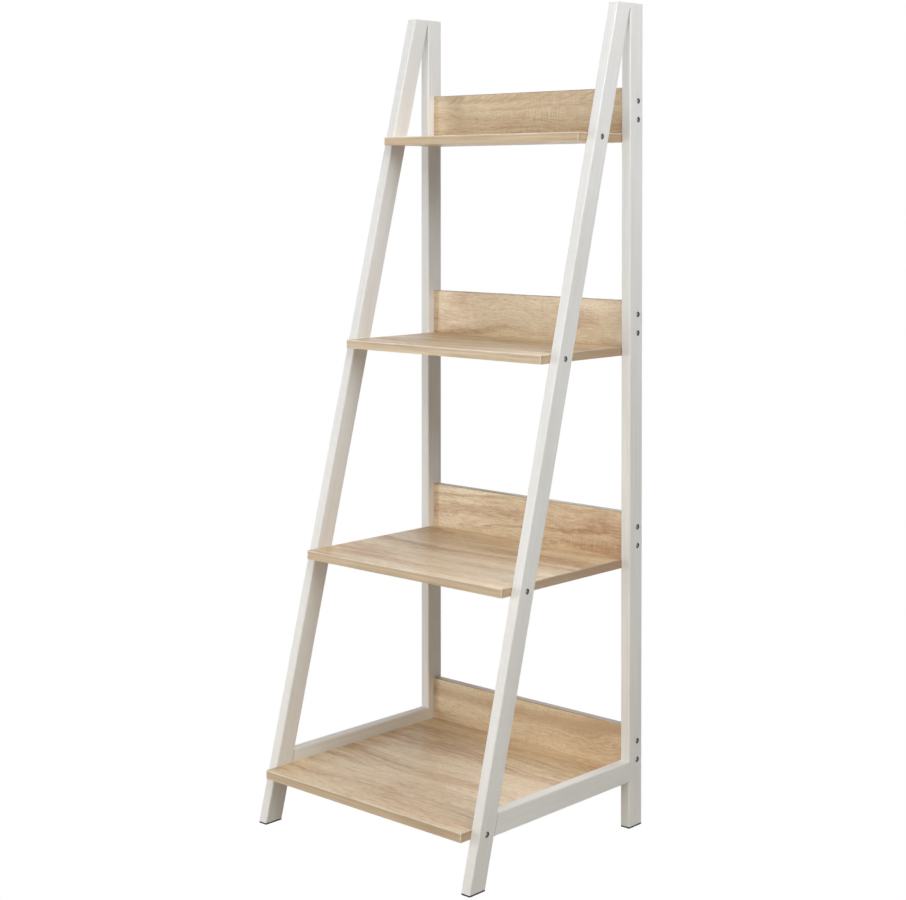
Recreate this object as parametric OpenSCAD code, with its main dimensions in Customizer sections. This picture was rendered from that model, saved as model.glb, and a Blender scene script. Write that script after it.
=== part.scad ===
// Ladder shelf: two painted A-shaped side frames carry four shelves that grow deeper towards
// the floor, each with a low back board. Every board is held by screws through the frames.
// X is the width, Y runs from the front to the back, Z is up.
// The origin is on the floor, at the centre of the footprint.

/* [Overall] */
// Outside width across the two side frames
overall_w = 522; // [360:1:900]
// Height from the floor to the top of the side frames
overall_h = 1500; // [1100:1:2100]
// Depth on the floor, from the front feet to the rear face of the posts
overall_d = 471; // [360:1:650]

/* [Side frames] */
// Thickness of the frame laths, across the shelf's width
lath_t = 20; // [16:0.5:30]
// Width of the frame laths, seen from the side
lath_w = 38; // [30:0.5:55]
// Radius on the long edges of the laths
lath_edge_r = 2.5; // [0.5:0.1:5]
// How far the leg laps past the post's front face at the top, beyond what its slant gives
top_lap = 0.4; // [0.2:0.1:5]
// Height at the top over which leg and post keep square edges, to close their joint
top_square_h = 12; // [6:1:30]
// Thickness of the foot pads
pad_t = 3; // [1:0.5:8]

/* [Boards] */
// Thickness of the shelves and the back boards
board_t = 16; // [12:0.5:25]
// Thickness of the edge bands glued to the boards
band_t = 1; // [0.4:0.1:2]
// Height of the bottom shelf's top face
first_shelf_z = 101; // [60:0.5:200]
// Distance from the top shelf's top face up to the top of the frames
top_shelf_drop = 235; // [120:0.5:400]
// How far each shelf stands out in front of the front legs
shelf_nose = 25.5; // [5:0.5:50]
// Height of a back board, which starts level with the underside of its shelf
back_board_h = 100; // [60:1:160]
// How much lower the bottom back board sits on its shelf than the others do
bottom_back_drop = 4; // [0:0.5:6]
// Distance from the rear face of the posts forward to the back boards
back_inset = 6; // [0:0.5:15]
// Gap between the end of a board and the side frame
board_gap = 0.3; // [0:0.05:1]

/* [Frame screws] */
// Diameter of a connecting screw's head
screw_head_d = 9.6; // [7:0.1:12]
// Height of the head
screw_head_h = 4; // [2:0.5:6]
// Diameter of the shank, over the thread
screw_d = 7; // [4:0.5:7.5]
// Length of the shank under the head
screw_len = 50; // [36:1:70]
// Size of the hexagon socket, across its corners
socket_d = 4.6; // [3:0.1:5.5]
// Depth of the hexagon socket
socket_depth = 2.6; // [1:0.1:3]
// Depth of the head's face below the lath's outer face
screw_recess = 2; // [0:0.5:6]
// Distance from the top edge of a back board down to its upper screw
post_screw_drop = 25; // [12:0.5:40]
// Distance between the two screws of one back board end
post_screw_pitch = 34; // [20:0.5:50]

/* [Back screws] */
// Number of screws from each back board into its shelf
back_screw_count = 3; // [2:1:6]
// Distance from the end of the board to the outer screws
back_screw_margin = 60; // [45:1:100]
// Diameter of the countersunk head
back_head_d = 8; // [6:0.5:10]
// Diameter of the shank
back_screw_d = 4; // [3:0.5:5]
// Length of the screw with its head
back_screw_len = 45; // [30:1:60]
// Depth of the head below the back board's rear face
back_screw_sink = 0.5; // [0:0.1:2]

/* [Dowels] */
// Diameter of the dowels that join the rails
dowel_d = 8; // [5:0.5:10]
// Length of the dowels that join the rails
dowel_len = 36; // [20:1:50]
// Depth of a rail dowel in the front leg
dowel_in_leg = 12; // [6:0.5:14]
// Depth of a rail dowel in the rear post
dowel_in_post = 16; // [8:0.5:20]
// Distance from the rail's long edges to its dowels
dowel_edge = 10; // [8:0.5:14]
// Diameter of the dowel that joins leg and post at the top
top_dowel_d = 6; // [4:0.5:8]
// Length of the top dowel
top_dowel_len = 40; // [20:1:50]
// Distance from the top of the frame to the top dowel
top_dowel_drop = 8; // [5:0.5:15]

/* [Fits] */
// Clearance on the radius between a screw or a dowel and its hole
hole_gap = 0.1; // [0:0.05:0.5]
// Clearance on the radius between a screw head and its counterbore
head_gap = 0.4; // [0.1:0.05:1]
// Free length left past the end of a screw or a dowel
end_gap = 0.5; // [0.1:0.1:2]

/* [Hidden] */
$fn = 48;

// Places of the four levels, from the floor up
BOTTOM = 0;
LOWER = 1;
UPPER = 2;
TOP = 3;

// Colours
paint_white = [0.88, 0.88, 0.86];
oak_face = [0.78, 0.68, 0.55];
oak_edge = [0.70, 0.59, 0.46];
oak_dark_edge = [0.50, 0.44, 0.37];
nickel = [0.72, 0.71, 0.69];
pad_black = [0.06, 0.06, 0.06];
beech = [0.82, 0.70, 0.52];

// Cutters reach this far past the faces that they open
past = 1;

// Frame geometry
frame_x = overall_w / 2 - lath_t / 2;
front_y = -overall_d / 2;
rear_y = overall_d / 2;
post_front_y = rear_y - lath_w;
post_mid_y = rear_y - lath_w / 2;
frame_top_d = 2 * lath_w - top_lap;
slant = (overall_d - frame_top_d) / (overall_h - pad_t);
tilt = atan(slant);
leg_depth = lath_w / cos(tilt);
function leg_front_y(z) = front_y + slant * (z - pad_t);
function leg_mid_y(z) = leg_front_y(z) + leg_depth / 2;
function leg_rear_y(z) = leg_front_y(z) + leg_depth;

// Board geometry
shelf_pitch = (overall_h - top_shelf_drop - first_shelf_z) / TOP;
board_len = overall_w - 2 * lath_t - 2 * board_gap;
back_rear_y = rear_y - back_inset;
back_mid_y = back_rear_y - board_t / 2;
back_front_y = back_rear_y - board_t;
function shelf_top_z(level) = first_shelf_z + level * shelf_pitch;
function shelf_under_z(level) = shelf_top_z(level) - board_t;
function shelf_mid_z(level) = shelf_top_z(level) - board_t / 2;
function back_low_z(level) = shelf_under_z(level) - (level == BOTTOM ? bottom_back_drop : 0);
function shelf_front_y(level) = leg_front_y(shelf_top_z(level)) - shelf_nose;
function shelf_depth(level) = back_front_y - shelf_front_y(level);

// Rail geometry: its lower edge is level with the underside of the bottom shelf
rail_low_z = shelf_under_z(BOTTOM);
rail_high_z = rail_low_z + lath_w;
rail_mid_z = rail_low_z + lath_w / 2;
// The shoulders that the rail lands on, on leg and post, have crisper edges than the rail
shoulder_edge_r = 0.8 * lath_edge_r;
rail_dowel_z = [rail_low_z + dowel_edge, rail_high_z - dowel_edge];
top_dowel_z = overall_h - top_dowel_drop;

// Screw places
function post_screw_z(level) = [
    for (row = [0, 1])
        back_low_z(level) + back_board_h - post_screw_drop - row * post_screw_pitch
];
back_screw_reach = board_len / 2 - back_screw_margin;
back_screw_step = 2 * back_screw_reach / (back_screw_count - 1);
back_screw_x = [for (i = [0 : back_screw_count - 1]) -back_screw_reach + i * back_screw_step];
back_head_h = (back_head_d - back_screw_d) / 2;
screw_tip_h = screw_d / 2;
counterbore_depth = screw_recess + screw_head_h;

// ---- Shared shapes ----

// Rectangle with round corners, centred
module rounded_rect(w, d, r) {
    square([w - 2 * r, d], center = true);
    square([w, d - 2 * r], center = true);
    for (x = [-1, 1], y = [-1, 1])
        translate([x * (w / 2 - r), y * (d / 2 - r)])
            circle(r);
}

// Round bar along +Y that starts at the given point
module bar_y(x, y, z, r, len) {
    translate([x, y, z])
        rotate([-90, 0, 0])
            cylinder(r = r, h = len);
}

// Mirrors a right-hand piece to the left-hand side
module left_hand() {
    mirror([1, 0, 0])
        children();
}

// ---- Side frames, drawn for the right-hand side ----

// Slanted bar along the leg's line, with the section that is passed in
module leg_bar() {
    over = lath_w * slant + past;
    translate([frame_x, front_y, pad_t])
        rotate([-tilt, 0, 0])
            translate([0, lath_w / 2, -over])
                linear_extrude((overall_h - pad_t) / cos(tilt) + 2 * over)
                    children();
}

// Bar with the rail's section, between two places along Y
module rail_bar(y0, y1, edge_r) {
    translate([frame_x, y1, rail_mid_z])
        rotate([90, 0, 0])
            linear_extrude(y1 - y0)
                rounded_rect(lath_t, lath_w, edge_r);
}

// The top corner of the frame, where leg and post keep square edges
module top_corner(y0, y1) {
    translate([frame_x - lath_t / 2, y0, overall_h - top_square_h])
        cube([lath_t, y1 - y0, top_square_h]);
}

// Hole for one connecting screw, counterbored from the frame's outer face
module screw_hole(y, z) {
    translate([overall_w / 2, y, z])
        rotate([0, -90, 0]) {
            translate([0, 0, -past])
                cylinder(r = screw_head_d / 2 + head_gap, h = counterbore_depth + past);
            cylinder(r = screw_d / 2 + hole_gap, h = counterbore_depth + screw_len + end_gap);
        }
}

// Holes for the rail's dowels, in the rail and in the two laths that it meets
module rail_dowel_holes() {
    for (z = rail_dowel_z) {
        bar_y(frame_x, leg_rear_y(z) - dowel_in_leg - end_gap, z,
              dowel_d / 2 + hole_gap, dowel_len + 2 * end_gap);
        bar_y(frame_x, post_front_y + dowel_in_post + end_gap - dowel_len - 2 * end_gap, z,
              dowel_d / 2 + hole_gap, dowel_len + 2 * end_gap);
    }
}

// Hole for the dowel between leg and post
module top_dowel_hole() {
    bar_y(frame_x, post_front_y - top_dowel_len / 2 - end_gap, top_dowel_z,
          top_dowel_d / 2 + hole_gap, top_dowel_len + 2 * end_gap);
}

module leg_screw_holes() {
    for (level = [BOTTOM : TOP])
        screw_hole(leg_mid_y(shelf_mid_z(level)), shelf_mid_z(level));
}

module post_screw_holes(levels) {
    for (level = levels, z = post_screw_z(level))
        screw_hole(back_mid_y, z);
}

module rear_post() {
    color(paint_white)
        difference() {
            union() {
                translate([frame_x, post_mid_y, pad_t])
                    linear_extrude(overall_h - pad_t)
                        rounded_rect(lath_t, lath_w, lath_edge_r);
                rail_bar(post_front_y, post_front_y + lath_edge_r, shoulder_edge_r);
                top_corner(post_front_y, post_mid_y);
            }
            post_screw_holes([BOTTOM : TOP]);
            rail_dowel_holes();
            top_dowel_hole();
        }
}

module front_leg() {
    color(paint_white)
        difference() {
            intersection() {
                union() {
                    leg_bar()
                        rounded_rect(lath_t, lath_w, lath_edge_r);
                    intersection() {
                        leg_bar()
                            square([lath_t, lath_w], center = true);
                        union() {
                            rail_bar(leg_mid_y(rail_mid_z), leg_rear_y(rail_high_z),
                                     shoulder_edge_r);
                            top_corner(leg_mid_y(overall_h), post_front_y);
                        }
                    }
                }
                translate([frame_x - lath_t / 2, front_y - past, pad_t])
                    cube([lath_t, post_front_y - front_y + past, overall_h - pad_t]);
            }
            leg_screw_holes();
            rail_dowel_holes();
            top_dowel_hole();
        }
}

module bottom_rail() {
    color(paint_white)
        difference() {
            rail_bar(leg_mid_y(rail_mid_z), post_front_y, lath_edge_r);
            leg_bar()
                square([lath_t + 2 * past, lath_w], center = true);
            rail_dowel_holes();
        }
}

module rail_dowels() {
    color(beech)
        for (z = rail_dowel_z) {
            bar_y(frame_x, leg_rear_y(z) - dowel_in_leg, z, dowel_d / 2, dowel_len);
            bar_y(frame_x, post_front_y + dowel_in_post - dowel_len, z, dowel_d / 2, dowel_len);
        }
}

module top_dowel() {
    color(beech)
        bar_y(frame_x, post_front_y - top_dowel_len / 2, top_dowel_z,
              top_dowel_d / 2, top_dowel_len);
}

module rear_foot_pad() {
    color(pad_black)
        translate([frame_x, post_mid_y, 0])
            linear_extrude(pad_t)
                rounded_rect(lath_t, lath_w, lath_edge_r);
}

module front_foot_pad() {
    color(pad_black)
        translate([frame_x, leg_mid_y(pad_t), 0])
            linear_extrude(pad_t)
                rounded_rect(lath_t, leg_depth, lath_edge_r);
}

// ---- Boards ----

// Back screws of one level as cutters, through the back board into the shelf
module back_screw_holes(level) {
    for (x = back_screw_x)
        translate([x, back_rear_y, shelf_mid_z(level)])
            rotate([90, 0, 0]) {
                translate([0, 0, -past])
                    cylinder(r = back_head_d / 2 + hole_gap, h = back_screw_sink + past);
                translate([0, 0, back_screw_sink])
                    cylinder(r1 = back_head_d / 2 + hole_gap, r2 = back_screw_d / 2 + hole_gap,
                             h = back_head_h);
                cylinder(r = back_screw_d / 2 + hole_gap,
                         h = back_screw_sink + back_screw_len + end_gap);
            }
}

// Holes that the side screws need in both ends of a board
module end_holes_of_shelf(level) {
    screw_hole(leg_mid_y(shelf_mid_z(level)), shelf_mid_z(level));
    left_hand()
        screw_hole(leg_mid_y(shelf_mid_z(level)), shelf_mid_z(level));
}

module end_holes_of_back_board(level) {
    post_screw_holes([level]);
    left_hand()
        post_screw_holes([level]);
}

module shelf(level) {
    color(oak_face)
        difference() {
            translate([-board_len / 2 + band_t, shelf_front_y(level) + band_t,
                       shelf_under_z(level)])
                cube([board_len - 2 * band_t, shelf_depth(level) - band_t, board_t]);
            end_holes_of_shelf(level);
            back_screw_holes(level);
        }
}

// Strips on the front edge and on both ends
module shelf_edge_band(level) {
    color(oak_edge)
        difference() {
            union() {
                translate([-board_len / 2, shelf_front_y(level), shelf_under_z(level)])
                    cube([board_len, band_t, board_t]);
                for (x = [-board_len / 2, board_len / 2 - band_t])
                    translate([x, shelf_front_y(level) + band_t, shelf_under_z(level)])
                        cube([band_t, shelf_depth(level) - band_t, board_t]);
            }
            end_holes_of_shelf(level);
        }
}

module back_board(level) {
    color(oak_face)
        difference() {
            translate([-board_len / 2, back_front_y, back_low_z(level) + band_t])
                cube([board_len, board_t, back_board_h - 2 * band_t]);
            end_holes_of_back_board(level);
            back_screw_holes(level);
        }
}

// Strips on the upper and the lower edge
module back_edge_band(level) {
    color(oak_dark_edge)
        for (z = [back_low_z(level), back_low_z(level) + back_board_h - band_t])
            translate([-board_len / 2, back_front_y, z])
                cube([board_len, board_t, band_t]);
}

// ---- Screws ----

// Connecting screw with its head just inside the frame's outer face, pointing inwards
module frame_screw(y, z) {
    color(nickel)
        translate([overall_w / 2 - screw_recess, y, z])
            rotate([0, -90, 0])
                difference() {
                    union() {
                        cylinder(r = screw_head_d / 2, h = screw_head_h);
                        cylinder(r = screw_d / 2, h = screw_head_h + screw_len - screw_tip_h);
                        translate([0, 0, screw_head_h + screw_len - screw_tip_h])
                            cylinder(r1 = screw_d / 2, r2 = screw_d / 8, h = screw_tip_h);
                    }
                    translate([0, 0, -past])
                        cylinder(r = socket_d / 2, h = socket_depth + past, $fn = 6);
                }
}

module leg_screws() {
    for (level = [BOTTOM : TOP])
        frame_screw(leg_mid_y(shelf_mid_z(level)), shelf_mid_z(level));
}

module post_screws() {
    for (level = [BOTTOM : TOP], z = post_screw_z(level))
        frame_screw(back_mid_y, z);
}

module back_screws(level) {
    color(nickel)
        for (x = back_screw_x)
            translate([x, back_rear_y - back_screw_sink, shelf_mid_z(level)])
                rotate([90, 0, 0])
                    difference() {
                        union() {
                            cylinder(r1 = back_head_d / 2, r2 = back_screw_d / 2,
                                     h = back_head_h);
                            cylinder(r = back_screw_d / 2, h = back_screw_len);
                        }
                        for (turn = [0, 90])
                            rotate(turn)
                                translate([-back_screw_d / 2, -back_screw_d / 8, -past])
                                    cube([back_screw_d, back_screw_d / 4,
                                          back_head_h / 2 + past]);
                    }
}

// ---- Named pieces ----

module left_rear_post() { left_hand() rear_post(); }
module right_rear_post() { rear_post(); }
module left_front_leg() { left_hand() front_leg(); }
module right_front_leg() { front_leg(); }
module left_bottom_rail() { left_hand() bottom_rail(); }
module right_bottom_rail() { bottom_rail(); }
module left_rail_dowels() { left_hand() rail_dowels(); }
module right_rail_dowels() { rail_dowels(); }
module left_top_dowel() { left_hand() top_dowel(); }
module right_top_dowel() { top_dowel(); }
module left_rear_foot_pad() { left_hand() rear_foot_pad(); }
module right_rear_foot_pad() { rear_foot_pad(); }
module left_front_foot_pad() { left_hand() front_foot_pad(); }
module right_front_foot_pad() { front_foot_pad(); }
module bottom_shelf() { shelf(BOTTOM); }
module lower_shelf() { shelf(LOWER); }
module upper_shelf() { shelf(UPPER); }
module top_shelf() { shelf(TOP); }
module bottom_shelf_edge_band() { shelf_edge_band(BOTTOM); }
module lower_shelf_edge_band() { shelf_edge_band(LOWER); }
module upper_shelf_edge_band() { shelf_edge_band(UPPER); }
module top_shelf_edge_band() { shelf_edge_band(TOP); }
module bottom_back_board() { back_board(BOTTOM); }
module lower_back_board() { back_board(LOWER); }
module upper_back_board() { back_board(UPPER); }
module top_back_board() { back_board(TOP); }
module bottom_back_edge_band() { back_edge_band(BOTTOM); }
module lower_back_edge_band() { back_edge_band(LOWER); }
module upper_back_edge_band() { back_edge_band(UPPER); }
module top_back_edge_band() { back_edge_band(TOP); }
module left_leg_screws() { left_hand() leg_screws(); }
module right_leg_screws() { leg_screws(); }
module left_post_screws() { left_hand() post_screws(); }
module right_post_screws() { post_screws(); }
module bottom_back_screws() { back_screws(BOTTOM); }
module lower_back_screws() { back_screws(LOWER); }
module upper_back_screws() { back_screws(UPPER); }
module top_back_screws() { back_screws(TOP); }

left_rear_post();
right_rear_post();
left_front_leg();
right_front_leg();
left_bottom_rail();
right_bottom_rail();
left_rail_dowels();
right_rail_dowels();
left_top_dowel();
right_top_dowel();
left_rear_foot_pad();
right_rear_foot_pad();
left_front_foot_pad();
right_front_foot_pad();
bottom_shelf();
lower_shelf();
upper_shelf();
top_shelf();
bottom_shelf_edge_band();
lower_shelf_edge_band();
upper_shelf_edge_band();
top_shelf_edge_band();
bottom_back_board();
lower_back_board();
upper_back_board();
top_back_board();
bottom_back_edge_band();
lower_back_edge_band();
upper_back_edge_band();
top_back_edge_band();
left_leg_screws();
right_leg_screws();
left_post_screws();
right_post_screws();
bottom_back_screws();
lower_back_screws();
upper_back_screws();
top_back_screws();
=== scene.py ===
"""Ladder shelf: materials, soft edges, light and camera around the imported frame."""

import math

import bmesh
import bpy
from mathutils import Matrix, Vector


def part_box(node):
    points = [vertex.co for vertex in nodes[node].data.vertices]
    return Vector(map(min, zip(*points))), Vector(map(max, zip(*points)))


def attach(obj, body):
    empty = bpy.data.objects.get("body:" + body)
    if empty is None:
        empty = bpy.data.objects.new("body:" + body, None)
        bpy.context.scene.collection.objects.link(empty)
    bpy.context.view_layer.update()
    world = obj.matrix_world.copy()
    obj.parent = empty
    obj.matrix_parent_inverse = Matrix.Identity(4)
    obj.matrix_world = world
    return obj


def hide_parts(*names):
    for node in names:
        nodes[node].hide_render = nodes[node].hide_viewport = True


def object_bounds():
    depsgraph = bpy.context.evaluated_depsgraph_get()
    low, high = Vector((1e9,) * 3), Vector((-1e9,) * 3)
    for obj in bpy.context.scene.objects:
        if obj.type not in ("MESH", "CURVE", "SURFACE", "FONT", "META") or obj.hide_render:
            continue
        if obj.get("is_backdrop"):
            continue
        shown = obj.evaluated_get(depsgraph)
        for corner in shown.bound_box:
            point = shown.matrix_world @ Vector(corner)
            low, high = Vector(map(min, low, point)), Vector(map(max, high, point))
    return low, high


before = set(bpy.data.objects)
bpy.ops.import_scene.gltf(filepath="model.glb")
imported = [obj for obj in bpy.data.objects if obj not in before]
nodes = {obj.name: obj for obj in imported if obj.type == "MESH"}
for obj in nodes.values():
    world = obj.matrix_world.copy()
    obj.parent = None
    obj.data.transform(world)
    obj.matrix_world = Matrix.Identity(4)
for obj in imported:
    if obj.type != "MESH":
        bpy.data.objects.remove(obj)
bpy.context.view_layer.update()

SIDES = ("left", "right")
LEVELS = ("bottom", "lower", "upper", "top")

# ---- Sizes taken from the frame ----

pad_low, pad_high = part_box("right_front_foot_pad")
post_low, post_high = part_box("right_rear_post")
rail_low, rail_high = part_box("right_bottom_rail")
LATH_W = post_high.y - post_low.y
TILT = math.acos(LATH_W / (pad_high.y - pad_low.y))
OUTER_X = post_high.x
TOP_Z = post_high.z
POST_MIDDLE_Y = (post_low.y + post_high.y) / 2
RAIL_MIDDLE_Z = (rail_low.z + rail_high.z) / 2
LEG_FOOT_Y = pad_low.y
LEG_FOOT_Z = pad_high.z


# ---- Node helpers ----


class Shader:
    """A material under construction, with a short call for each kind of node it needs."""

    def __init__(self, name):
        self.material = bpy.data.materials.new(name)
        self.material.use_nodes = True
        self.tree = self.material.node_tree
        self.surface = self.tree.nodes["Principled BSDF"]

    def add(self, kind, inputs=None, **settings):
        node = self.tree.nodes.new("ShaderNode" + kind)
        for key, value in settings.items():
            setattr(node, key, value)
        for key, value in (inputs or {}).items():
            self.feed(node, key, value)
        return node

    def feed(self, node, key, value):
        if isinstance(value, bpy.types.NodeSocket):
            self.tree.links.new(value, node.inputs[key])
        else:
            node.inputs[key].default_value = value

    def math(self, operation, a, b=0.0, c=0.0, clamp=False):
        node = self.add("Math", {0: a, 1: b, 2: c}, operation=operation)
        node.use_clamp = clamp
        return node.outputs[0]

    def position(self):
        return self.add("TexCoord").outputs["Object"]

    def split(self, vector):
        parts = self.add("SeparateXYZ", {0: vector}).outputs
        return parts[0], parts[1], parts[2]

    def join(self, x, y, z):
        return self.add("CombineXYZ", {0: x, 1: y, 2: z}).outputs[0]

    def stretch(self, vector, x, y, z):
        return self.add("VectorMath", {0: vector, 1: (x, y, z)}, operation="MULTIPLY").outputs[0]

    def noise(self, vector, detail, rough, scale=1.0):
        inputs = {"Vector": vector, "Scale": scale, "Detail": detail, "Roughness": rough}
        return self.add("TexNoise", inputs).outputs["Fac"]

    def smooth(self, value, low, high, to_low=0.0, to_high=1.0):
        node = self.add(
            "MapRange",
            {"Value": value, "From Min": low, "From Max": high, "To Min": to_low,
             "To Max": to_high},
            interpolation_type="SMOOTHSTEP",
        )
        return node.outputs[0]

    def ramp(self, value, stops):
        node = self.add("ValToRGB", {0: value})
        elements = node.color_ramp.elements
        while len(elements) < len(stops):
            elements.new(0.5)
        for element, (place, colour) in zip(elements, stops):
            element.position = place
            element.color = (*colour, 1.0)
        return node.outputs[0]

    def mix(self, share, a, b, blend="MIX"):
        node = self.add("Mix", data_type="RGBA", blend_type=blend)
        node.clamp_factor = True
        self.feed(node, 0, share)
        for key, value in ((6, a), (7, b)):
            self.feed(node, key, (*value, 1.0) if isinstance(value, tuple) else value)
        return node.outputs[2]

    def bump(self, height, strength, distance):
        inputs = {"Height": height, "Strength": strength, "Distance": distance}
        return self.add("Bump", inputs).outputs[0]

    def finish(self, colour, roughness, normal, specular, metallic=0.0):
        self.feed(self.surface, "Base Color", colour)
        self.feed(self.surface, "Roughness", roughness)
        self.feed(self.surface, "Normal", normal)
        self.surface.inputs["Metallic"].default_value = metallic
        self.surface.inputs["Specular IOR Level"].default_value = specular
        return self.material


# ---- Materials ----

PAINT_LIGHT = (0.905, 0.903, 0.892)
PAINT_DULL = (0.820, 0.817, 0.802)
# Multiplied into the paint towards the bottom of a lath as painted shade
PAINT_LOW_SHADE = (1.0, 0.985, 0.945)
PAINT_DUST = (0.62, 0.59, 0.53)
CRACK = (0.16, 0.13, 0.10)
CRACK_NARROW = 0.00025
CRACK_WIDE = 0.0009
CRACK_WANDER = 0.0018
# Near black, painted as the shade on the walls of a lath's screw holes
HOLE_WALL_SHADE = (0.070, 0.062, 0.052)
# The walls of a lath's screw holes lie between these depths below its outer face, and within
# this distance of its centre line
HOLE_START = 0.0009
HOLE_END = 0.008
HOLE_REACH = 0.014


def paint(name, turn, middle, joints):
    """Satin white paint on a lath, warmer and a little darker towards the bottom as painted shade,
    with the walls of its screw holes near black as painted shade. turn lays the lath's length
    along Z, and middle is then its centre line's Y. joints are the butt joints it shares with
    the rail, each a point and the normal of its plane, and show as a hairline crack."""
    s = Shader(name)
    here = s.position()
    x, _, z = s.split(here)
    turned = s.add("VectorRotate", {"Vector": here, "Angle": turn}, rotation_type="X_AXIS")
    along = turned.outputs[0]
    cloud = s.noise(s.stretch(along, 18, 18, 3.5), 3, 0.55)
    streak = s.noise(s.stretch(along, 520, 520, 5), 2, 0.6)
    brush = s.noise(s.stretch(along, 1500, 1500, 22), 2, 0.5)
    peel = s.noise(here, 2, 0.55, scale=650)
    speck = s.noise(here, 1, 0.5, scale=240)
    tone = s.math("MULTIPLY_ADD", streak, 0.45, s.math("MULTIPLY", cloud, 0.55))
    colour = s.mix(s.smooth(tone, 0.36, 0.66), PAINT_DULL, PAINT_LIGHT)
    # Painted shade: towards the bottom the paint turns warmer and a little darker, for the dimmer,
    # warmer light low down
    low_shade = s.smooth(s.math("MULTIPLY_ADD", cloud, 0.5, z), 1.55, 0.35)
    colour = s.mix(low_shade, colour, PAINT_LOW_SHADE, "MULTIPLY")
    dust = s.smooth(speck, 0.74, 0.84, 0.0, 0.35)
    colour = s.mix(dust, colour, PAINT_DUST)
    height = s.math("MULTIPLY_ADD", brush, 0.6, s.math("MULTIPLY", peel, 0.4))

    # Painted shade: the walls of the screw holes are coloured near black for the shade inside them
    depth = s.math("SUBTRACT", OUTER_X, s.math("ABSOLUTE", x))
    off = s.math("ABSOLUTE", s.math("SUBTRACT", s.split(along)[1], middle))
    hole_shade = s.math("MULTIPLY", s.smooth(depth, HOLE_START - 0.0007, HOLE_START),
                    s.smooth(depth, HOLE_END + 0.001, HOLE_END))
    hole_shade = s.math("MULTIPLY", hole_shade, s.smooth(off, HOLE_REACH + 0.0005, HOLE_REACH))
    below_top = s.smooth(z, TOP_Z - 0.0008, TOP_Z - 0.0016)
    hole_shade = s.math("MULTIPLY", hole_shade, below_top)
    colour = s.mix(hole_shade, colour, HOLE_WALL_SHADE)

    off_rail = s.math("ABSOLUTE", s.math("SUBTRACT", z, RAIL_MIDDLE_Z))
    beside_rail = s.smooth(off_rail, LATH_W / 2, LATH_W / 2 - 0.0005)
    for point, normal in joints:
        offset = s.add("VectorMath", {0: here, 1: point}, operation="SUBTRACT").outputs[0]
        away = s.add("VectorMath", {0: offset, 1: normal}, operation="DOT_PRODUCT").outputs[1]
        wander = s.noise(here, 2, 0.6, scale=210)
        wide = s.smooth(s.noise(here, 1, 0.5, scale=95), 0.3, 0.7, CRACK_NARROW, CRACK_WIDE)
        away = s.math("MULTIPLY_ADD", s.math("SUBTRACT", wander, 0.5), CRACK_WANDER, away)
        share = s.math("DIVIDE", s.math("ABSOLUTE", away), wide)
        crack = s.math("SUBTRACT", 1.0, share, clamp=True)
        crack = s.math("MULTIPLY", s.smooth(crack, 0.0, 0.6), beside_rail)
        colour = s.mix(s.math("MULTIPLY", crack, 0.9), colour, CRACK)
        height = s.math("SUBTRACT", height, crack)

    rough = s.smooth(s.math("ADD", cloud, streak), 0.8, 1.2, 0.46, 0.60)
    return s.finish(colour, rough, s.bump(height, 0.22, 0.0006), specular=0.32)


OAK_SHADES = (
    (0.02, (0.425, 0.225, 0.112)),
    (0.26, (0.590, 0.378, 0.218)),
    (0.50, (0.760, 0.584, 0.378)),
    (0.75, (0.896, 0.745, 0.530)),
    (0.98, (0.956, 0.850, 0.670)),
)
OAK_DASH = (0.43, 0.285, 0.16)
OAK_TICK = (0.40, 0.26, 0.15)
OAK_STREAK = (0.46, 0.27, 0.14)
OAK_FLECK = (0.50, 0.32, 0.18)
SAW_PALE = (0.93, 0.81, 0.62)
SAW_DARK = (0.50, 0.34, 0.19)


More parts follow.
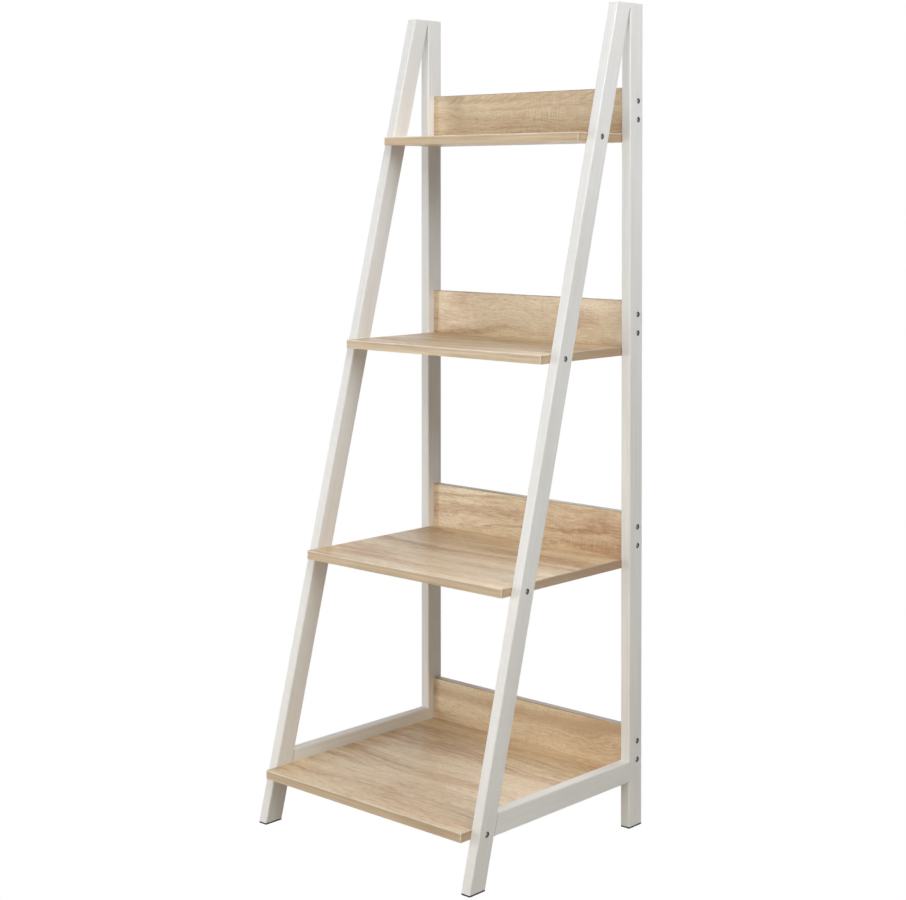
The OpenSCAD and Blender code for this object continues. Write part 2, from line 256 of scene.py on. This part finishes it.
def oak(name, seed, tint, tone=1.0, coarse=1.0, band=0.8, saw=(0.0, 0.5), figure=1.0,
        extra=None, flame=None):
    """Light oak print on a board, with its grain along X. seed picks the piece of the print,
    tone makes it lighter or darker, coarse below 1 widens the fine grain, band is the strength
    of the broad bands, saw the share of cross saw marks and where along X they are, and figure
    the strength of the rings. extra adds a darker streak at a height, with its width and
    strength, and flame a row of slanting flecks in the same way."""
    s = Shader(name)
    x, y, z = s.split(s.position())
    u = s.math("ADD", x, 3.1 * seed)
    v0 = s.math("ADD", s.math("ADD", y, z), 1.7 * seed)

    def grain(cross, depth, along, wide, detail=2.0, rough=0.5):
        vector = s.join(s.math("MULTIPLY", u, along), s.math("MULTIPLY", cross, wide), depth)
        return s.noise(vector, detail, rough)

    def around(value, share):
        return s.math("MULTIPLY", s.math("SUBTRACT", value, 0.5), share)

    warp = grain(v0, seed, 3.2, 9.0)
    sway = grain(v0, seed + 4.0, 16.0, 40.0)
    v = s.math("ADD", v0, s.math("ADD", around(warp, 0.06), around(sway, 0.010)))

    bands = grain(v, seed + 1.0, 1.8, 24.0, 3, 0.55)
    body = grain(v, seed + 2.0, 0.9, 7.0, 1)
    jitter = grain(v0, seed + 12.0, 90.0, 160.0, 1)
    phase = s.math("ADD", s.math("MULTIPLY", body, 88.0), around(jitter, 2.4))
    rings = s.smooth(s.math("SINE", phase), -0.2, 1.0)
    ring_mask = s.smooth(grain(v, seed + 3.0, 2.4, 10.0, 1), 0.42, 0.60, 0.25, 1.0)
    strokes = grain(v, seed + 5.0, 38.0, 330.0 * coarse, 3, 0.6)
    streaks = grain(v, seed + 6.0, 12.0, 520.0 * coarse, 2, 0.6)
    fine = grain(v0, seed + 7.0, 150.0, 1300.0 * coarse, 2, 0.6)
    dashes = s.smooth(grain(v, seed + 8.0, 75.0, 430.0 * coarse, 1), 0.57, 0.70)
    ticks = s.smooth(grain(v0, seed + 10.0, 190.0, 420.0 * coarse, 1), 0.60, 0.72)
    drift = grain(v, seed + 13.0, 5.0, 9.0, 1)

    level = s.math("ADD", around(bands, band), s.math("ADD", around(drift, 0.35), 0.54))
    ring_share = s.math("MULTIPLY", ring_mask, 0.15 * figure)
    level = s.math("SUBTRACT", level, s.math("MULTIPLY", rings, ring_share))
    level = s.math("ADD", level, around(strokes, 0.74))
    level = s.math("ADD", level, around(streaks, 0.34))
    level = s.math("ADD", level, around(fine, 0.16))
    colour = s.ramp(level, [
        (place, tuple(tone * a * b for a, b in zip(shade, tint))) for place, shade in OAK_SHADES
    ])
    colour = s.mix(s.math("MULTIPLY", dashes, 0.34), colour, OAK_DASH)
    colour = s.mix(s.math("MULTIPLY", ticks, 0.26), colour, OAK_TICK)

    marks = grain(v0, seed + 9.0, 480.0, 30.0, 2, 0.6)
    patch = s.smooth(s.math("ABSOLUTE", s.math("SUBTRACT", x, saw[1])), 0.04, 0.15, 1.0, 0.2)
    patchy = s.smooth(grain(v, seed + 11.0, 5.0, 22.0, 1), 0.38, 0.60, 0.3, 1.0)
    patch = s.math("MULTIPLY", s.math("MULTIPLY", patch, patchy), saw[0])
    pale = s.math("MULTIPLY", s.smooth(marks, 0.48, 0.66), patch)
    dark = s.math("MULTIPLY", s.smooth(marks, 0.52, 0.34), patch)
    colour = s.mix(pale, colour, SAW_PALE)
    colour = s.mix(dark, colour, SAW_DARK)

    if extra:
        place, width, share = extra
        off = s.math("ABSOLUTE", s.math("SUBTRACT", s.math("ADD", z, around(warp, 0.05)), place))
        line = s.math("MULTIPLY", s.smooth(off, width, 0.0, 0.0, share),
                      s.smooth(strokes, 0.35, 0.6, 0.4, 1.0))
        colour = s.mix(line, colour, OAK_STREAK)
    if flame:
        place, width, share = flame
        off = s.math("ABSOLUTE", s.math("SUBTRACT", z, place))
        lean = s.math("MULTIPLY", s.math("MULTIPLY_ADD", z, -2.2, u), 95.0)
        fleck = s.noise(s.join(lean, s.math("MULTIPLY", z, 45.0), seed), 2, 0.55)
        row = s.smooth(off, width, 0.3 * width, 0.0, share)
        fleck = s.math("MULTIPLY", s.smooth(fleck, 0.44, 0.60), row)
        fleck = s.math("MULTIPLY", fleck, s.smooth(strokes, 0.3, 0.6, 0.5, 1.0))
        colour = s.mix(fleck, colour, OAK_FLECK)

    height = s.math("SUBTRACT", s.math("ADD", fine, s.math("MULTIPLY", marks, 0.3)),
                    s.math("ADD", dashes, s.math("MULTIPLY", ticks, 0.6)))
    rough = s.smooth(s.math("ADD", streaks, bands), 0.75, 1.25, 0.44, 0.34)
    return s.finish(colour, rough, s.bump(height, 0.16, 0.0004), specular=0.5)


BAND_SHADES = (
    (0.15, (0.395, 0.265, 0.150)),
    (0.45, (0.560, 0.410, 0.250)),
    (0.70, (0.680, 0.525, 0.335)),
    (0.95, (0.780, 0.635, 0.435)),
)
ARRIS_PALE = (0.97, 0.89, 0.77)
ARRIS_NARROW = 0.0014
ARRIS_WIDE = 0.0020
LINE_DARK = (0.42, 0.29, 0.18)
LINE_BELOW_TOP = 0.0042
# Painted shade on a band's ends, darker towards the rear
END_PAINTED_SHADE = (0.40, 0.255, 0.160)


def edging(name, seed, front_y, top_z, end_x):
    """Edge band with fine lines along its length, a pale arris, and a dark line below it. Its
    ends get darker towards the rear, a painted shade."""
    s = Shader(name)
    x, y, z = s.split(s.position())
    normal = s.split(s.add("NewGeometry").outputs["Normal"])
    end = s.smooth(s.math("ABSOLUTE", normal[0]), 0.5, 0.8)
    up = s.smooth(s.math("ABSOLUTE", normal[2]), 0.5, 0.8)
    behind = s.smooth(y, front_y + 0.0009, front_y + 0.0013)
    run = s.math("ADD", x, y)
    rise = s.math("ADD", z, 0.37 * seed)

    def layer(along, depth, wide, rough):
        vector = s.join(s.math("MULTIPLY", run, along), depth, s.math("MULTIPLY", rise, wide))
        return s.noise(vector, 2, rough)

    lines = layer(9.0, seed, 520.0, 0.6)
    bands = layer(4.0, seed + 2.0, 110.0, 0.5)
    cloud = layer(7.0, seed + 5.0, 30.0, 0.5)
    level = s.math("MULTIPLY_ADD", s.math("SUBTRACT", lines, 0.5), 0.75, 0.5)
    level = s.math("MULTIPLY_ADD", s.math("SUBTRACT", bands, 0.5), 0.6, level)
    level = s.math("MULTIPLY_ADD", s.math("SUBTRACT", cloud, 0.5), 0.4, level)
    colour = s.ramp(level, BAND_SHADES)

    worn = s.noise(s.join(s.math("MULTIPLY", run, 14.0), seed + 8.0, 0.0), 2, 0.5)
    wide = s.smooth(worn, 0.35, 0.65, ARRIS_NARROW, ARRIS_WIDE)
    below = s.math("SUBTRACT", top_z, z)
    rim = s.math("SUBTRACT", 1.0, s.math("DIVIDE", below, wide), clamp=True)
    corner = s.math("SUBTRACT", end_x, s.math("ABSOLUTE", x))
    corner = s.math("SUBTRACT", 1.0, s.math("DIVIDE", corner, wide), clamp=True)
    corner = s.math("MAXIMUM", corner, end)
    corner = s.math("MULTIPLY", corner, s.math("SUBTRACT", 1.0, behind))
    arris = s.math("MAXIMUM", up, s.smooth(rim, 0.0, 0.5))
    arris = s.math("MAXIMUM", arris, s.smooth(corner, 0.0, 0.5))
    pale = s.math("MULTIPLY", arris, s.smooth(worn, 0.3, 0.6, 0.6, 0.85))
    colour = s.mix(pale, colour, ARRIS_PALE)

    line = s.math("ABSOLUTE", s.math("SUBTRACT", below, LINE_BELOW_TOP))
    line = s.smooth(line, 0.0012, 0.0002)
    line = s.math("MULTIPLY", line, s.smooth(worn, 0.35, 0.65, 0.25, 0.55))
    colour = s.mix(line, colour, LINE_DARK)

    # Painted shade: the ends of the band darken towards the rear
    rear = s.smooth(y, front_y + 0.02, front_y + 0.30, 0.20, 0.85)
    shade = s.math("MULTIPLY", s.math("MULTIPLY", end, behind), rear)
    colour = s.mix(shade, colour, END_PAINTED_SHADE)

    rough = s.smooth(level, 0.2, 0.8, 0.50, 0.36)
    return s.finish(colour, rough, s.bump(lines, 0.12, 0.0003), specular=0.5)


BACK_BAND_SHADES = (
    (0.2, (0.300, 0.235, 0.170)),
    (0.5, (0.420, 0.345, 0.265)),
    (0.8, (0.540, 0.460, 0.370)),
)


def back_edging(name, seed):
    """Greyish brown band on the upper and lower edge of a back board."""
    s = Shader(name)
    x, y, _ = s.split(s.position())

    def layer(along, depth, wide, detail, rough):
        vector = s.join(s.math("MULTIPLY", x, along), s.math("MULTIPLY", y, wide), depth)
        return s.noise(vector, detail, rough)

    lines = layer(12.0, seed, 700.0, 3, 0.6)
    cloud = layer(5.0, seed + 3.0, 60.0, 2, 0.5)
    level = s.math("MULTIPLY_ADD", s.math("SUBTRACT", lines, 0.5), 0.9, cloud)
    colour = s.ramp(level, BACK_BAND_SHADES)
    rough = s.smooth(level, 0.2, 0.8, 0.55, 0.42)
    return s.finish(colour, rough, s.bump(lines, 0.12, 0.0003), specular=0.4)


# Nickel darkened as painted shade, for the shadow in a frame screw's hole
NICKEL_SHADOWED_TONES = (
    (0.25, (0.16, 0.155, 0.145)),
    (0.55, (0.27, 0.262, 0.250)),
    (0.80, (0.42, 0.412, 0.400)),
)
# Painted highlight in a frame screw's socket; a back screw takes it all over as a paler tone
NICKEL_PALE_AND_SOCKET_HIGHLIGHT = (0.80, 0.79, 0.77)
# Of a frame screw, only the socket shows at more than this depth
SOCKET_DEPTH = 0.0025


def nickel(name, highlight_from):
    """Nickel plate darkened as painted shade for the shadow in the screw's hole, with fine turning
    marks and a few dull spots, and a painted highlight of pale metal where it lies deeper than
    the given depth below the side frame's outer face; given 0.0, the whole head is pale."""
    s = Shader(name)
    here = s.position()
    spots = s.noise(here, 2, 0.5, scale=420)
    turned = s.noise(s.stretch(here, 90, 2600, 2600), 2, 0.5)
    level = s.math("MULTIPLY_ADD", turned, 0.4, s.math("MULTIPLY", spots, 0.6))
    colour = s.ramp(level, NICKEL_SHADOWED_TONES)
    # Painted highlight: past the given depth, in a frame screw's socket, the metal turns pale
    depth = s.math("SUBTRACT", OUTER_X, s.math("ABSOLUTE", s.split(here)[0]))
    deep = s.math("GREATER_THAN", depth, highlight_from)
    colour = s.mix(s.math("MULTIPLY", deep, 0.75), colour, NICKEL_PALE_AND_SOCKET_HIGHLIGHT)
    rough = s.smooth(spots, 0.35, 0.7, 0.26, 0.46)
    return s.finish(colour, rough, s.bump(turned, 0.2, 0.0002), metallic=1.0, specular=0.5)


RUBBER = (0.012, 0.012, 0.013)
RUBBER_DUST = (0.075, 0.070, 0.064)
DUST_TOP_Z = 0.0024


def rubber(name):
    """Black foot pad, with a fine moulded grain and dust near the floor."""
    s = Shader(name)
    here = s.position()
    z = s.split(here)[2]
    grain = s.noise(here, 2, 0.6, scale=900)
    dust = s.noise(here, 3, 0.6, scale=160)
    low = s.smooth(z, DUST_TOP_Z, 0.0, 0.1, 0.6)
    dusty = s.math("MULTIPLY", low, s.smooth(dust, 0.4, 0.7))
    colour = s.mix(dusty, RUBBER, RUBBER_DUST)
    rough = s.smooth(dust, 0.3, 0.7, 0.55, 0.85)
    return s.finish(colour, rough, s.bump(grain, 0.35, 0.0004), specular=0.35)


BEECH_SHADES = (
    (0.3, (0.52, 0.36, 0.21)),
    (0.55, (0.66, 0.48, 0.30)),
    (0.8, (0.75, 0.58, 0.39)),
)


def beech(name):
    """Dowel wood with fine pores along Y."""
    s = Shader(name)
    here = s.position()
    grain = s.noise(s.stretch(here, 700, 30, 700), 3, 0.6)
    ray = s.noise(s.stretch(here, 1500, 120, 1500), 1, 0.5)
    level = s.math("MULTIPLY_ADD", ray, 0.35, s.math("MULTIPLY", grain, 0.65))
    colour = s.ramp(level, BEECH_SHADES)
    rough = s.smooth(grain, 0.3, 0.7, 0.62, 0.50)
    return s.finish(colour, rough, s.bump(grain, 0.2, 0.0003), specular=0.35)


# ---- Soft edges and materials on the frame's own pieces ----

LATH_SOFT = 0.0006
PAD_SOFT = 0.0005
SCREW_SOFT = 0.0003
FLAT_ANGLE = 0.3
SHARP_ANGLE = 35.0
NORMAL_WEIGHT = 80


def wear(name, material):
    """Gives one of the frame's nodes its material, and returns its object."""
    node = nodes[name]
    node.data.materials.clear()
    node.data.materials.append(material)
    return node


def soften(node, width):
    """Closes the mesh's seams, clears its flat faces of inner edges and rounds its sharp edges."""
    weld = node.modifiers.new("weld", "WELD")
    weld.merge_threshold = 1e-6
    flat = node.modifiers.new("flat", "DECIMATE")
    flat.decimate_type = "DISSOLVE"
    flat.angle_limit = math.radians(FLAT_ANGLE)
    bevel = node.modifiers.new("bevel", "BEVEL")
    bevel.width = width
    bevel.segments = 2
    bevel.limit_method = "ANGLE"
    bevel.angle_limit = math.radians(SHARP_ANGLE)
    bevel.miter_outer = "MITER_ARC"
    normals = node.modifiers.new("normals", "WEIGHTED_NORMAL")
    normals.mode = "FACE_AREA"
    normals.weight = NORMAL_WEIGHT


# The leg's centre line once turned upright, and the plane of its rear face, where the rail ends
LEG_MIDDLE = math.cos(TILT) * LEG_FOOT_Y + LATH_W / 2 - math.sin(TILT) * LEG_FOOT_Z
leg_rear = (0.0, LEG_FOOT_Y + LATH_W / math.cos(TILT), LEG_FOOT_Z)
leg_normal = (0.0, math.cos(TILT), -math.sin(TILT))
leg_joint = (leg_rear, leg_normal)

for side in SIDES:
    for part, turn, middle, joints in (
        ("rear_post", 0.0, POST_MIDDLE_Y, ()),
        ("front_leg", TILT, LEG_MIDDLE, (leg_joint,)),
        ("bottom_rail", math.pi / 2, -RAIL_MIDDLE_Z, (leg_joint,)),
    ):
        name = f"{side}_{part}"
        soften(wear(name, paint(f"paint_{name}", turn, middle, joints)), LATH_SOFT)
    for end in ("rear", "front"):
        soften(wear(f"{side}_{end}_foot_pad", rubber(f"rubber_{side}_{end}")), PAD_SOFT)
    metal = nickel(f"nickel_{side}", highlight_from=SOCKET_DEPTH)
    for part in ("leg_screws", "post_screws"):
        soften(wear(f"{side}_{part}", metal), SCREW_SOFT)
    wood = beech(f"beech_{side}")
    for part in ("rail_dowels", "top_dowel"):
        wear(f"{side}_{part}", wood)

SHELF_TINT = (0.925, 0.893, 0.836)
SHELF_COARSE = 0.42
SHELF_BAND = 1.35
BACK_TINT = (0.905, 0.917, 0.908)
SHELF_LOOK = {
    "bottom": dict(seed=1.0, figure=1.2),
    "lower": dict(seed=2.0, tone=1.03, figure=1.0),
    "upper": dict(seed=3.0, tone=0.90, figure=0.8),
    "top": dict(seed=4.0, figure=0.8),
}
BACK_LOOK = {
    "bottom": dict(seed=5.0, tone=1.08, saw=(0.20, 0.0), extra=(0.160, 0.020, 0.65)),
    "lower": dict(seed=6.4, tone=1.08, saw=(0.18, 0.1), figure=1.4),
    "upper": dict(seed=7.0, saw=(0.18, 0.1), figure=1.2),
    "top": dict(seed=8.0, tone=0.92, saw=(0.30, 0.02), figure=0.9, flame=(1.339, 0.012, 0.65)),
}
for level in LEVELS:
    look = dict(tint=SHELF_TINT, coarse=SHELF_COARSE, band=SHELF_BAND, **SHELF_LOOK[level])
    wear(f"{level}_shelf", oak(f"oak_{level}_shelf", **look))
    wear(f"{level}_back_board", oak(f"oak_{level}_back", tint=BACK_TINT, **BACK_LOOK[level]))
    soften(wear(f"{level}_back_screws", nickel(f"nickel_{level}", highlight_from=0.0)), SCREW_SOFT)


# ---- Edge bands with a soft arris ----

X, Y, Z = range(3)
ARRIS = 0.0003
NEAR = 1e-5


def in_plane(edge, axis, place):
    """Whether both ends of an edge lie in the plane across an axis at a place."""
    return all(abs(vertex.co[axis] - place) < NEAR for vertex in edge.verts)


def square_to(edge, axis):
    """Whether an edge runs square to an axis."""
    return abs(edge.verts[0].co[axis] - edge.verts[1].co[axis]) < NEAR


def strip(mesh, low, high, axis, outer, square=None):
    """Adds a closed strip between two corners. Its edges in the plane across axis at outer are
    rounded off, or only those of them that run square to a second axis."""
    made = bmesh.ops.create_cube(mesh, size=1.0)
    for vertex in made["verts"]:
        vertex.co = Vector(high[i] if vertex.co[i] > 0 else low[i] for i in (X, Y, Z))
    edges = {
        edge for vertex in made["verts"] for edge in vertex.link_edges
        if in_plane(edge, axis, outer) and (square is None or square_to(edge, square))
    }
    bmesh.ops.bevel(mesh, geom=list(edges), offset=ARRIS, segments=3, profile=0.5,
                    affect="EDGES", clamp_overlap=True)


def build(name, mesh, material):
    """Turns a finished bmesh into an object in the scene."""
    data = bpy.data.meshes.new(name)
    mesh.to_mesh(data)
    mesh.free()
    data.materials.append(material)
    made = bpy.data.objects.new(name, data)
    bpy.context.scene.collection.objects.link(made)
    return made


def piece(name, mesh, material, replaced):
    """Adds a new piece of the shelf, which stands for one of the frame's nodes."""
    made = build(name, mesh, material)
    for polygon in made.data.polygons:
        polygon.use_smooth = True
    normals = made.modifiers.new("normals", "WEIGHTED_NORMAL")
    normals.weight = NORMAL_WEIGHT
    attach(made, "root")
    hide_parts(replaced)


for count, level in enumerate(LEVELS):
    band_low, band_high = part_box(f"{level}_shelf_edge_band")
    core_low, core_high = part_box(f"{level}_shelf")
    front = band_low.y
    mesh = bmesh.new()
    strip(mesh, band_low, (band_high.x, core_low.y, band_high.z), Y, front)
    for low_x, high_x, outer in (
        (band_low.x, core_low.x, band_low.x), (core_high.x, band_high.x, band_high.x),
    ):
        low = (low_x, core_low.y, band_low.z)
        high = (high_x, band_high.y, band_high.z)
        strip(mesh, low, high, X, outer, square=Z)
    look = edging(f"edging_{level}", 1.0 + count, front, band_high.z, band_high.x)
    piece(f"{level}_shelf_edging", mesh, look, f"{level}_shelf_edge_band")

    band_low, band_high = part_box(f"{level}_back_edge_band")
    core_low, core_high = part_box(f"{level}_back_board")
    mesh = bmesh.new()
    for low_z, high_z, outer in (
        (band_low.z, core_low.z, band_low.z), (core_high.z, band_high.z, band_high.z),
    ):
        low = (band_low.x, band_low.y, low_z)
        high = (band_high.x, band_high.y, high_z)
        strip(mesh, low, high, Z, outer, square=Y)
    look = back_edging(f"back_edging_{level}", 11.0 + count)
    piece(f"{level}_back_edging", mesh, look, f"{level}_back_edge_band")


# ---- Stage ----

SURROUND_RADIUS = 30.0
SURROUND_LOW_Z = -0.002
FLOOR_HALF = 6.0
FLOOR_Z = -0.0005
FLOOR_DARK = (0.51, 0.485, 0.43)
FLOOR_LIGHT = (0.55, 0.525, 0.47)


def glow(name):
    """A material that shines plain white."""
    material = bpy.data.materials.new(name)
    material.use_nodes = True
    tree = material.node_tree
    tree.nodes.clear()
    source = tree.nodes.new("ShaderNodeEmission")
    source.inputs["Color"].default_value = (1.0, 1.0, 1.0, 1.0)
    source.inputs["Strength"].default_value = 1.0
    out = tree.nodes.new("ShaderNodeOutputMaterial")
    tree.links.new(source.outputs[0], out.inputs[0])
    return material


# A white surround that only the camera and gloss see
mesh = bmesh.new()
bmesh.ops.create_icosphere(mesh, subdivisions=5, radius=SURROUND_RADIUS)
for vertex in mesh.verts:
    vertex.co.z = max(vertex.co.z, SURROUND_LOW_Z)
surround = build("surround", mesh, glow("surround_white"))
surround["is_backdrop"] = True
surround.visible_diffuse = False
surround.visible_shadow = False
surround.visible_transmission = False

# The pale floor that gives back the light, though neither camera nor gloss sees it
mesh = bmesh.new()
bmesh.ops.create_grid(mesh, x_segments=8, y_segments=8, size=FLOOR_HALF)
floor_look = Shader("pale_floor")
floor_cloud = floor_look.noise(floor_look.position(), 2, 0.5, scale=2.0)
floor_colour = floor_look.mix(floor_cloud, FLOOR_DARK, FLOOR_LIGHT)
floor_look.feed(floor_look.surface, "Base Color", floor_colour)
floor_look.surface.inputs["Roughness"].default_value = 0.8
floor = build("floor", mesh, floor_look.material)
floor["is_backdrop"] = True
floor.location.z = FLOOR_Z
floor.visible_camera = False
floor.visible_glossy = False


# ---- Light ----

AIM = Vector((0.0, 0.0, 0.75))
# Each softbox's name, place, width, height and power in watts
LIGHTS = (
    ("left_low_box", (-2.4, -2.4, 0.6), 1.4, 1.2, 31.6),
    ("right_high_box", (2.2, -1.6, 2.9), 1.4, 1.4, 25.0),
    ("right_side_box", (2.4, -0.3, 2.2), 1.0, 1.2, 17.5),
    ("right_top_box", (1.8, 0.0, 3.0), 1.2, 1.2, 14.2),
    ("top_box", (0.5, -0.6, 3.4), 2.4, 2.4, 9.5),
    ("front_high_box", (0.4, -3.0, 2.6), 2.4, 1.4, 25.0),
    ("front_box", (0.3, -2.6, 0.9), 1.6, 1.4, 11.0),
    ("rear_box", (-1.2, 3.2, 2.0), 2.2, 2.0, 38.0),
)


def softbox(name, place, width, height, power):
    """Adds an area light that faces the middle of the shelf and stays out of the picture."""
    data = bpy.data.lights.new(name, "AREA")
    data.shape = "RECTANGLE"
    data.size = width
    data.size_y = height
    data.energy = power
    made = bpy.data.objects.new(name, data)
    made.location = place
    made.rotation_mode = "QUATERNION"
    made.rotation_quaternion = (AIM - Vector(place)).to_track_quat("-Z", "Y")
    bpy.context.scene.collection.objects.link(made)
    made.visible_camera = False


# All the light comes from the softboxes, so the world itself gives none
world = bpy.data.worlds.new("studio")
world.use_nodes = True
background = world.node_tree.nodes["Background"]
background.inputs["Color"].default_value = (1.0, 1.0, 1.0, 1.0)
background.inputs["Strength"].default_value = 0.0
bpy.context.scene.world = world
for light in LIGHTS:
    softbox(*light)


# ---- Camera ----

# The lens is shifted to frame the shelf while the camera looks almost level, as in the photo
CAMERA_PLACE = (2.22854, -2.41667, 1.16290)
CAMERA_YAW = math.radians(42.587)
CAMERA_DOWN = math.radians(1.0)
CAMERA_LENS = 71.560
CAMERA_SHIFT_Y = -0.25266

camera_data = bpy.data.cameras.new("camera")
camera_data.sensor_width = 36.0
camera_data.sensor_fit = "HORIZONTAL"
camera_data.lens = CAMERA_LENS
camera_data.shift_y = CAMERA_SHIFT_Y
camera = bpy.data.objects.new("camera", camera_data)
camera.location = CAMERA_PLACE
camera.rotation_euler = (math.pi / 2 - CAMERA_DOWN, 0.0, CAMERA_YAW)
bpy.context.scene.collection.objects.link(camera)
bpy.context.scene.camera = camera

view = bpy.context.scene.view_settings
view.view_transform = "Standard"
view.look = "None"
view.exposure = 0.0
view.gamma = 1.0

low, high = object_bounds()
